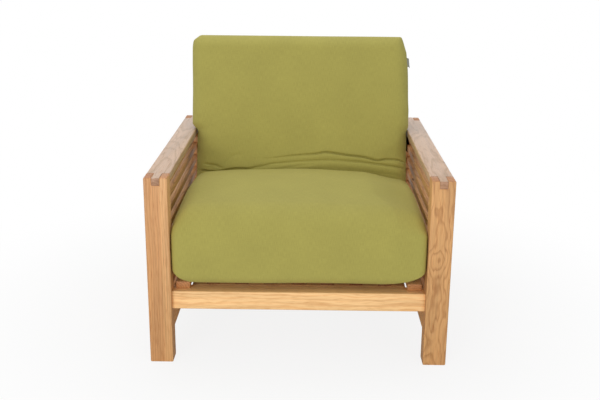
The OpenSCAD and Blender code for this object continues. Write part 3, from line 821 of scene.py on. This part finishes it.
class ChairBase(bpy.types.Operator):
    """Ledgers, joists, bearers and the slats that stay"""

    bl_idname = "chair.base"
    bl_label = "Bed base"

    def execute(self, context):
        for node in ("ledger_left", "ledger_right", "joist_left", "joist_right"):
            oak_copy(node, "Y")
        for node in ("bearer_lip", "bearer_front", "bearer_rear"):
            oak_copy(node, "X")
        oak_copy("base_dowels", "Y", edge=0.4 * MM)
        low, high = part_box("fixed_slats")
        count = 6
        pitch = (high.x - low.x - SLAT_WIDTH) / (count - 1)
        oak_slats("oak_fixed_slats", "fixed_slats", count,
                  (low.x + SLAT_WIDTH / 2, (low.y + high.y) / 2, (low.z + high.z) / 2),
                  (pitch, 0, 0), (SLAT_WIDTH, high.y - low.y, high.z - low.z), material="oak_base")
        return {"FINISHED"}


class ChairDeck(bpy.types.Operator):
    """The sliding slats, their batten and runners, stop blocks and legs"""

    bl_idname = "chair.deck"
    bl_label = "Sliding deck"

    def execute(self, context):
        for node in ("runner_left", "runner_right", "deck_leg_left", "deck_leg_right",
                     "deck_stop_left", "deck_stop_right"):
            oak_copy(node, "Y", edge=CLOSE_EDGE)
        oak_copy("deck_slats", "Y", "oak_base", edge=CLOSE_EDGE)
        oak_copy("deck_batten", "X", edge=0.6 * MM)
        return {"FINISHED"}


class ChairBack(bpy.types.Operator):
    """The back frame: stiles, slats, cross rails and legs"""

    bl_idname = "chair.back"
    bl_label = "Back frame"

    def execute(self, context):
        for node in ("back_stile_left", "back_stile_right", "back_leg_left", "back_leg_right"):
            oak_copy(node, "Y", leaning=True, edge=CLOSE_EDGE)
        for node in ("back_rail_lower", "back_rail_middle", "back_rail_upper"):
            oak_copy(node, "X", leaning=True)
        low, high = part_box("back_slats")
        count, start, end = 7, 15 * MM, 645 * MM
        pitch = (high.x - low.x - SLAT_WIDTH) / (count - 1)
        oak_slats("oak_back_slats", "back_slats", count,
                  (low.x + SLAT_WIDTH / 2, (start + end) / 2, 0), (pitch, 0, 0),
                  (SLAT_WIDTH, end - start, BACK_SLAT_THICK), turn=LEAN,
                  place=(0, PIVOT_Y, PIVOT_Z))
        return {"FINISHED"}


def lobed_knob(shape, inner, outer, centre_y, centre_z, radius):
    """Adds a six-lobed hand knob whose axis is X, from its outer end to its inner one."""
    sides = 48
    # (share of the length, share of the radius) from the outer end to the inner one
    profile = ((0.0, 0.62), (0.04, 0.7), (0.3, 0.72), (0.36, 0.93), (0.45, 1.0), (0.84, 1.0),
               (0.95, 0.93), (1.0, 0.8))
    rings = []
    for along, share in profile:
        lobes = 0.07 if along > 0.3 else 0.0
        ring = []
        for k in range(sides):
            angle = math.tau * k / sides
            reach = radius * share * (1 - lobes + lobes * math.cos(6 * angle))
            ring.append(shape.verts.new((
                outer + (inner - outer) * along,
                centre_y + reach * math.cos(angle), centre_z + reach * math.sin(angle))))
        rings.append(ring)
    for low, high in zip(rings, rings[1:]):
        for k in range(sides):
            shape.faces.new((low[k], low[(k + 1) % sides], high[(k + 1) % sides], high[k]))
    shape.faces.new(rings[0])
    shape.faces.new(rings[-1])


class ChairHardware(bpy.types.Operator):
    """Screws, bolts, quadrants, spacers and knobs"""

    bl_idname = "chair.hardware"
    bl_label = "Hardware"

    def execute(self, context):
        for node in ("frame_bolts", "barrel_nuts", "quadrant_left", "quadrant_right",
                     "quadrant_screws", "deck_leg_bolts", "pivot_bolts", "pivot_spacers",
                     "clamp_bolts", "clamp_spacers", "back_leg_bolts"):
            for slot in frame["nodes"][node].material_slots:
                slot.material = finish("steel")

        # The screws' rows: in the sliding slats and the back's, and in the slats that stay
        slats = [(i - 4) * SLAT_PITCH for i in range(9)]
        stays = [(i - 2.5) * SLAT_PITCH for i in range(6)]
        base_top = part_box("fixed_slats")[1].z
        places = {"fixed_slat_screws": [], "deck_screws": [], "back_screws": []}
        for bearer in ("bearer_front", "bearer_rear"):
            low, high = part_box(bearer)
            places["fixed_slat_screws"] += [(x, (low.y + high.y) / 2, base_top) for x in stays]
        low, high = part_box("deck_batten")
        places["deck_screws"] += [(x, (low.y + high.y) / 2, DECK_TOP) for x in slats]
        for r in BACK_SCREW_ROWS:
            for x in slats:
                # The outer screws stand off the stiles' outer edges
                x = x * 0.96 if x in (slats[0], slats[-1]) else x
                places["back_screws"].append((x, *on_back(r, BACK_SLAT_THICK / 2)))
        for node, points in places.items():
            turn = LEAN if node == "back_screws" else 0.0
            piece = grown("heads_" + node, points, screw_tree(), {"Turn": (turn, 0, 0)}, finish("steel"))
            piece.data.polygons.foreach_set("use_smooth", [False] * len(piece.data.polygons))
            stand_in(piece, node)

        low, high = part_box("clamp_knobs")
        inner = min(abs(v.co.x) for v in frame["nodes"]["clamp_knobs"].data.vertices)
        shape = bmesh.new()
        for side in (-1, 1):
            lobed_knob(shape, side * inner, side * high.x, (low.y + high.y) / 2,
                       (low.z + high.z) / 2, (high.z - low.z) / 2)
        knobs = new_piece("knobs", filled(bpy.data.meshes.new("knobs"), shape), finish("nylon"))
        knobs.data.set_sharp_from_angle(angle=math.radians(40))
        stand_in(knobs, "clamp_knobs")
        return {"FINISHED"}


# How far the seat's lower front edge stands above the slats (x, height), in millimetres
LIP = ((-371, 4), (-345, 1), (-313, 0), (-95, 0), (22, 2.5), (159, 2.5), (247, 1), (316, 2.5),
       (345, 6), (371, 9))


class ChairSeatCushion(bpy.types.Operator):
    """The folded seat: the upper layer and the round fold at the front"""

    bl_idname = "chair.seat_cushion"
    bl_label = "Seat cushion"

    def execute(self, context):
        wide = context.scene.chair_futon.half_width
        # The upper layer's underside, the rear end of the fold and that of the layer
        under = FOLD_Z + 0.5 * MM
        fold_end = FRONT + 110 * MM
        crease_y = on_back(r_at(under, PAD_T1), PAD_T1)[0]
        tail = crease_y - 3 * MM
        # The outline's corners (y, z, radius), from the fold's rear end down and forwards
        corners = [
            (fold_end, SOLE_Z, 8 * MM), (FRONT + 7 * MM, SOLE_Z, 33 * MM),
            (FRONT + 2.5 * MM, FOLD_Z - 22 * MM, 200 * MM),
            (FRONT + 6 * MM, under + 107 * MM, 104 * MM),
            (FRONT + 320 * MM, under + 120 * MM, 900 * MM),
            (tail + 92 * MM * (LEAN_COS / LEAN_SIN), under + 91 * MM, 58 * MM),
            (tail, under, 14 * MM), (fold_end, under, 6 * MM)]

        def spacing(y, z):
            if z < SOLE_Z + 40 * MM and y < FRONT + 90 * MM:
                return 3.5 * MM
            return 5 * MM if y > crease_y - 90 * MM else 8 * MM

        outline, marks = spaced(rounded_loop(corners), spacing)
        # Towards its sides the outline draws in to this inner one
        core = [
            (FRONT + 24 * MM, SOLE_Z + 62 * MM), (fold_end - 6 * MM, SOLE_Z + 62 * MM),
            (fold_end - 6 * MM, under + 9 * MM), (tail - 30 * MM, under + 9 * MM),
            (tail - 26 * MM, under + 30 * MM), (FRONT + 24 * MM, under + 30 * MM)]
        side = nearest_in(outline, core)
        normal = outward(outline)
        upper = outline[:, 1] > FOLD_Z
        depth = outline[:, 0] - FRONT
        on_top = smooth(outline[:, 1], under + 30 * MM, under + 90 * MM)
        rear = smooth(depth, 250 * MM, 520 * MM)
        lip = 1 - smooth(outline[:, 1], SOLE_Z + 12 * MM, SOLE_Z + 60 * MM)
        lip *= 1 - smooth(depth, 52 * MM, 76 * MM)
        # Where the top's flat ends on the right, for each depth
        crest = np.interp(depth / MM, (0, 25, 200, 600), (310, 286, 223, 215)) * MM
        xs = columns(-wide, wide, 7 * MM)
        slices = []
        for x in xs:
            # How far in from its sides the seat starts to round off, by the way its cover faces
            low_reach, top_reach = (84 * MM, 76 * MM) if x < 0 else (150 * MM, 38 * MM)
            reach = normal[:, 1] ** 2 * np.where(
                normal[:, 1] > 0, top_reach, np.where(upper, 24 * MM, low_reach))
            reach += normal[:, 0] ** 2 * np.where(
                normal[:, 0] < 0, 27 * MM, np.where(upper, 50 * MM, 8 * MM))
            full = roundness((abs(x) - (wide - reach)) / reach, 2.3)[:, None]
            # The top falls to both sides from its middle, and sags past the crest on the right
            drop = (11 * MM if x < 0 else 13 * MM) * min(1, abs(x) / (300 * MM)) ** 2
            sag = 25 * MM * np.clip((x - crest) / (wide - crest), 0, 1)
            outer = outline.copy()
            outer[:, 1] -= on_top * (drop * (0.5 + 0.5 * rear) + sag)
            outer[:, 1] += lip * np.interp(x / MM, *zip(*LIP)) * MM
            outer += normal * (gently(x, marks, 3, 0.26) * 1.6 * MM * on_top)[:, None]
            slices.append(side + (outer - side) * full)
        mesh = lofted("futon_seat", xs, slices, marks)
        seat = new_piece("futon_seat", mesh, finish("cotton"))
        clear_band(seat, FOLD_Z, 1.2 * MM)
        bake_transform(seat)
        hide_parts("futon_upper")
        return {"FINISHED"}


# Creases in the cover where the seat runs up into the back. Each has its half width, and its
# points (x, r, depth) in millimetres.
JOIN_CREASE = (2.1, (
    (-371, 176, 8), (-363, 175, 9), (-338, 171, 9), (-314, 166, 13), (-294, 165, 14), (-277, 169, 13),
    (-258, 174, 9), (-236, 178, 8), (-207, 179, 12), (-182, 177, 9), (-168, 182, 3.5), (-131, 189, 3),
    (-99, 197, 3), (-5, 206, 2.5), (99, 212, 2.5), (204, 206, 3.5), (291, 196, 5), (357, 187, 6),
    (371, 179, 6)))
UPPER_CREASE = (2.1, (
    (-110, 214, 0), (-88, 217, 2), (-40, 224, 3), (12, 229, 4), (57, 233, 6), (82, 239, 9),
    (103, 237, 11), (155, 229, 11), (217, 223, 10), (263, 211, 12), (294, 217, 9), (336, 216, 8),
    (357, 209, 9), (371, 205, 8)))
SMALL_CREASES = (
    (3.5, ((-345, 195, 0), (-332, 193, 4), (-307, 191, 5), (-295, 188, 5), (-279, 181, 3),
           (-268, 176, 0))),
    (6.0, ((-262, 194, 0), (-255, 201, 1.4), (-250, 216, 1.6), (-236, 223, 1.6), (-217, 228, 1),
           (-205, 230, 0))),
    (4.0, ((-80, 178, 0), (-64, 180, 1.5), (-39, 185, 2), (-5, 191, 2), (37, 195, 1), (60, 196, 0))))


def crease_line(crease, x):
    """The crease's place and depth at x, eased round its corners."""
    xs, places, depths = zip(*crease[1])
    near = [x + shift for shift in (-7, 0, 7)]
    place = sum(np.interp(v, xs, places) for v in near) / 3
    return place, sum(np.interp(v, xs, depths, 0, 0) for v in near) / 3


def crease_push(x, r):
    """How far the back's cover stands proud, in millimetres, at x and r in millimetres."""
    push = np.zeros_like(r)
    for crease in (JOIN_CREASE, UPPER_CREASE, *SMALL_CREASES):
        place, depth = crease_line(crease, x)
        push -= depth * np.exp(-((r - place) / crease[0]) ** 2)
    join, _ = crease_line(JOIN_CREASE, x)
    upper, _ = crease_line(UPPER_CREASE, x)
    # The back hangs over its creases: over the upper one on the right, the join on the left
    over = np.interp(x, (-371, -183, -75, 60, 371), (0, 0, 2, 5, 5))
    brow = np.interp(x, (-371, -183, -90), (4, 4, 0))
    for line, swell, fade in ((upper, over, 40), (join, brow, 30)):
        past = np.maximum(r - line, 0)
        push += swell * (1 - np.exp(-past / 3)) * np.exp(-past / fade)
    # Soft rolls between the creases
    under = np.interp(x, (-371, -183, -75, 60, 371), (3, 2, 3, 4, 5))
    for low, high, swell in ((join, upper, over * 0.7), (join - 30, join, under)):
        share = np.clip((r - low) / np.maximum(high - low, 1), 0, 1)
        push += swell * np.sin(math.pi * share) * np.clip((high - low) / 18, 0, 1)
    # The lower right corner is slack, below a crest that slants up from one point
    (crest_x, crest_r), (run, rise, slant) = (252, 244), (104, 53, 116.7)
    slack = ((x - crest_x) * rise - (r - crest_r) * run) / slant
    push -= 5 * smooth(slack, 0, 55) * smooth(x, 200, 300) * smooth(r, 195, 225)
    return push


# The back's half widths (r, half width) in millimetres, above the arms
LEFT_EDGE = ((450, 388), (548, 391), (610, 392), (630, 390), (641, 385), (652, 378))
RIGHT_EDGE = ((393, 377), (513, 374), (555, 372), (595, 369), (613, 363), (633, 357), (652, 355))


class ChairBackCushion(bpy.types.Operator):
    """The lower layer of the seat and the back, one pad bent at the crease"""

    bl_idname = "chair.back_cushion"
    bl_label = "Back cushion"

    def execute(self, context):
        crown = context.scene.chair_futon.crown
        # The lower layer's top and front end
        top = FOLD_Z - 0.3 * MM
        start = FRONT + 112 * MM
        heel = on_back(r_at(SOLE_Z, PAD_T0), PAD_T0)
        crease = on_back(r_at(top, PAD_T1), PAD_T1)
        corners = [
            (start, SOLE_Z, 8 * MM), (start, top, 8 * MM), (*crease, 2 * MM),
            (*on_back(PAD_END, PAD_T1), 52 * MM), (*on_back(PAD_END, PAD_T0), 44 * MM),
            (*heel, 18 * MM)]

        def spacing(y, z):
            # Fine where the creases run
            r, t = off_back(y, z)
            if t < 100 * MM or z < FOLD_Z + 10 * MM or not 140 * MM < r < 300 * MM:
                return 8 * MM
            return 1.6 * MM if 158 * MM < r < 246 * MM else 3 * MM

        outline, marks = spaced(rounded_loop(corners), spacing)
        # Towards its sides the outline draws in to this inner one
        front, rear = PAD_T0 + 76 * MM, PAD_T0 + 40 * MM
        core = [
            (start + 10 * MM, SOLE_Z + 58 * MM), (start + 10 * MM, top - 20 * MM),
            on_back(r_at(top - 20 * MM, front), front),
            on_back(PAD_END - 20 * MM, front), on_back(PAD_END - 20 * MM, rear),
            on_back(r_at(SOLE_Z + 58 * MM, rear), rear)]
        side = nearest_in(outline, core)
        normal = outward(outline)
        r, _ = off_back(*outline.T)
        rising, facing = along_back(*normal.T)
        # The back begins above the fold, and fades in over 60 mm
        foot = 100 * MM
        back = smooth(r, foot, foot + 60 * MM) * (outline[:, 1] > FOLD_Z + 1 * MM)
        front_face = np.clip(facing, 0, 1) * back
        # The half width on each side, for each point of the outline: the back swells over the arms
        wide_low = 370 * MM
        swell = smooth(outline[:, 1], ARM_TOP + 4 * MM, ARM_TOP + 30 * MM)
        loose = smooth(outline[:, 1], ARM_TOP + 30 * MM, ARM_TOP + 60 * MM)
        left, right = (
            wide_low + (np.interp(r / MM, *zip(*edge)) * MM - wide_low) * swell
            + gently(r, 0 * r, seed, size) * depth * loose
            for edge, seed, size, depth in (
                (LEFT_EDGE, 8, 0.16, 0.8 * MM), (RIGHT_EDGE, 9, 0.09, 0.9 * MM)))
        # u runs from the left edge to the right one
        xs = columns(-0.5, 0.5, 1 / 150)
        slices = []
        places = []
        for u in xs:
            wide = left if u < 0 else right
            x = 2 * u * wide
            corner = 10 * MM if u > 0 else 22 * MM
            reach = (
                np.where(facing > 0, 46 * MM, 42 * MM) * facing ** 2
                + np.where(rising > 0, corner, 60 * MM) * rising ** 2)
            # The front end is squarer, where the upper layer's fold stands against it
            low_reach = (50 * normal[:, 1] ** 2
                         + np.where(normal[:, 0] < 0, 12, 50) * normal[:, 0] ** 2) * MM
            reach = reach * back + low_reach * (1 - back)
            full = roundness((abs(x) - (wide - reach)) / reach, 2.1)[:, None]
            up = np.clip((r - foot) / (PAD_END - foot), 0, 1)
            bulge = crown * np.sin(math.pi * up) * (1 - (2 * u) ** 4)
            push = crease_push(x / MM, r / MM) * MM * front_face * (0.35 + 0.65 * full[:, 0])
            push += gently(x, marks, 5, 0.3) * 1.3 * MM * front_face
            outer = outline + normal * (front_face * bulge + push)[:, None]
            slices.append(side + (outer - side) * full)
            places.append(x)
        mesh = lofted("futon_back_pad", xs, slices, marks)
        flat = np.array(places).reshape(-1)
        for v, x in zip(mesh.vertices, flat):
            v.co.x = x
        for loop, data in zip(mesh.loops, mesh.uv_layers["cloth"].data):
            data.uv[0] = flat[loop.vertex_index]
        pad = new_piece("futon_back_pad", mesh, finish("cotton"))
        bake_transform(pad)
        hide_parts("futon_lower", "futon_back")
        return {"FINISHED"}


class ChairTag(bpy.types.Operator):
    """The small bare tag on the right edge of the back"""

    bl_idname = "chair.tag"
    bl_label = "Side tag"

    def execute(self, context):
        low_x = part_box("side_tag")[0].x
        r0, length, reach, thick = 555 * MM, 30 * MM, 14 * MM, 1.6 * MM
        t = PAD_T0 + 62 * MM
        # Its free edge droops, most at its lower end
        droop = 7 * MM
        steps_up, steps_out = 12, 5
        shape = bmesh.new()
        rows = []
        for k in range(steps_up + 1):
            up = k / steps_up
            row = []
            for j in range(steps_out + 1):
                out = j / steps_out
                x = low_x - 2 * MM + reach * out * (1 - 0.22 * up)
                r = r0 + length * up - droop * out ** 1.4 * (1 - 0.4 * up)
                sway = 0.9 * MM * math.sin(1.3 * math.pi * up + 2.5 * out)
                half = thick / 2 * (1 if j < steps_out else 0.4)
                for face in (-half, half):
                    row.append(shape.verts.new((x, *on_back(r, t + sway + face))))
            rows.append(row)
        # Each row holds its front and rear vertices by turns
        pairs = range(0, 2 * steps_out, 2)
        for a, b in zip(rows, rows[1:]):
            for j in pairs:
                shape.faces.new((a[j], a[j + 2], b[j + 2], b[j]))
                shape.faces.new((a[j + 1], b[j + 1], b[j + 3], a[j + 3]))
            shape.faces.new((a[-2], a[-1], b[-1], b[-2]))
            shape.faces.new((a[1], a[0], b[0], b[1]))
        for row in (rows[0], rows[-1]):
            for j in pairs:
                shape.faces.new((row[j], row[j + 1], row[j + 3], row[j + 2]))
        tag = new_piece("tag", filled(bpy.data.meshes.new("tag"), shape), finish("tape"))
        stand_in(tag, "side_tag")
        return {"FINISHED"}


# The camera, fitted to the chair's corners in the photograph
CAMERA_PLACE = (0.0244, -2.8283, 1.2217)
CAMERA_AIM = (-0.00903, 0.95782, -0.28722)
CAMERA_ROLL = math.radians(0.519)
CAMERA_LENS = 52.7

# Each lamp's name, place, size in metres and power in watts
LAMPS = (
    ("key", (-2.6, -6.0, 1.9), 2.8, 142),
    ("second", (3.4, -5.6, 1.5), 2.8, 50),
    ("overhead", (-0.5, 1.0, 3.4), 2.2, 40))
LAMPS_AIM = Vector((0, 0, 0.4))


class ChairStage(bpy.types.Operator):
    """Camera, pale floor, lamps and background"""

    bl_idname = "chair.stage"
    bl_label = "Stage"

    def execute(self, context):
        camera = bpy.data.objects.new("camera", bpy.data.cameras.new("camera"))
        context.scene.collection.objects.link(camera)
        context.scene.camera = camera
        camera.data.lens = CAMERA_LENS
        camera.data.sensor_width = 36
        camera.data.sensor_fit = "HORIZONTAL"
        forward = Vector(CAMERA_AIM).normalized()
        right = forward.cross(Vector((0, 0, 1))).normalized()
        up = right.cross(forward)
        level = math.cos(CAMERA_ROLL) * right + math.sin(CAMERA_ROLL) * up
        top = -math.sin(CAMERA_ROLL) * right + math.cos(CAMERA_ROLL) * up
        turn = Matrix((level, top, -forward)).transposed()
        camera.matrix_world = Matrix.Translation(CAMERA_PLACE) @ turn.to_4x4()

        floor_mesh = bpy.data.meshes.new("floor")
        size = 30
        floor_mesh.from_pydata(
            [(x * size, y * size, 0) for x, y in ((-1, -1), (1, -1), (1, 1), (-1, 1))],
            [], [(0, 1, 2, 3)])
        new_piece("floor", floor_mesh, finish("floor"), rounded=False)

        world = bpy.data.worlds.new("studio")
        world.use_nodes = True
        context.scene.world = world
        tree = world.node_tree
        tree.nodes.clear()
        path = add(tree, "ShaderNodeLightPath")
        seen = add(tree, "ShaderNodeMath", {"operation": "MAXIMUM"}, {
            0: path.outputs["Is Camera Ray"], 1: path.outputs["Is Glossy Ray"]})
        seen = add(tree, "ShaderNodeMath", {"operation": "MAXIMUM"}, {
            0: seen, 1: path.outputs["Is Transmission Ray"]})
        fill = add(tree, "ShaderNodeBackground", inputs={"Color": linear("F2F4F7"), "Strength": 0.58})
        white = add(tree, "ShaderNodeBackground", inputs={"Color": linear("FFFFFF"), "Strength": 1.0})
        mixed = add(tree, "ShaderNodeMixShader", inputs={0: seen, 1: fill, 2: white})
        add(tree, "ShaderNodeOutputWorld", inputs={"Surface": mixed})

        for name, place, size, power in LAMPS:
            lamp = bpy.data.lights.new(name, "AREA")
            lamp.shape = "SQUARE"
            lamp.size = size
            lamp.energy = power
            holder = bpy.data.objects.new(name, lamp)
            holder.location = place
            holder.rotation_euler = (LAMPS_AIM - Vector(place)).to_track_quat("-Z", "Y").to_euler()
            context.scene.collection.objects.link(holder)
        context.scene.view_settings.view_transform = "Standard"
        return {"FINISHED"}


PIECES = (ChairStage, ChairFrame, ChairSideSlats, ChairBase, ChairDeck, ChairBack, ChairHardware,
          ChairSeatCushion, ChairBackCushion, ChairTag)


class ChairPanel(bpy.types.Panel):
    """Lists the chair's settings and pieces"""

    bl_idname = "VIEW3D_PT_chair_bed"
    bl_label = "Chair Bed"
    bl_space_type = "VIEW_3D"
    bl_region_type = "UI"
    bl_category = "Chair Bed"

    def draw(self, context):
        for group in (context.scene.chair_wood, context.scene.chair_futon):
            box = self.layout.box()
            for name in group.__annotations__:
                box.prop(group, name)
        for piece in PIECES:
            self.layout.operator(piece.bl_idname)


CLASSES = (ChairWood, ChairFuton, *PIECES, ChairPanel)


def register():
    for cls in CLASSES:
        bpy.utils.register_class(cls)
    bpy.types.Scene.chair_wood = bpy.props.PointerProperty(type=ChairWood)
    bpy.types.Scene.chair_futon = bpy.props.PointerProperty(type=ChairFuton)


def unregister():
    del bpy.types.Scene.chair_futon
    del bpy.types.Scene.chair_wood
    for cls in reversed(CLASSES):
        bpy.utils.unregister_class(cls)


def main():
    register()
    for piece in PIECES:
        section, name = piece.bl_idname.split(".")
        getattr(getattr(bpy.ops, section), name)()


if __name__ == "__main__":
    main()
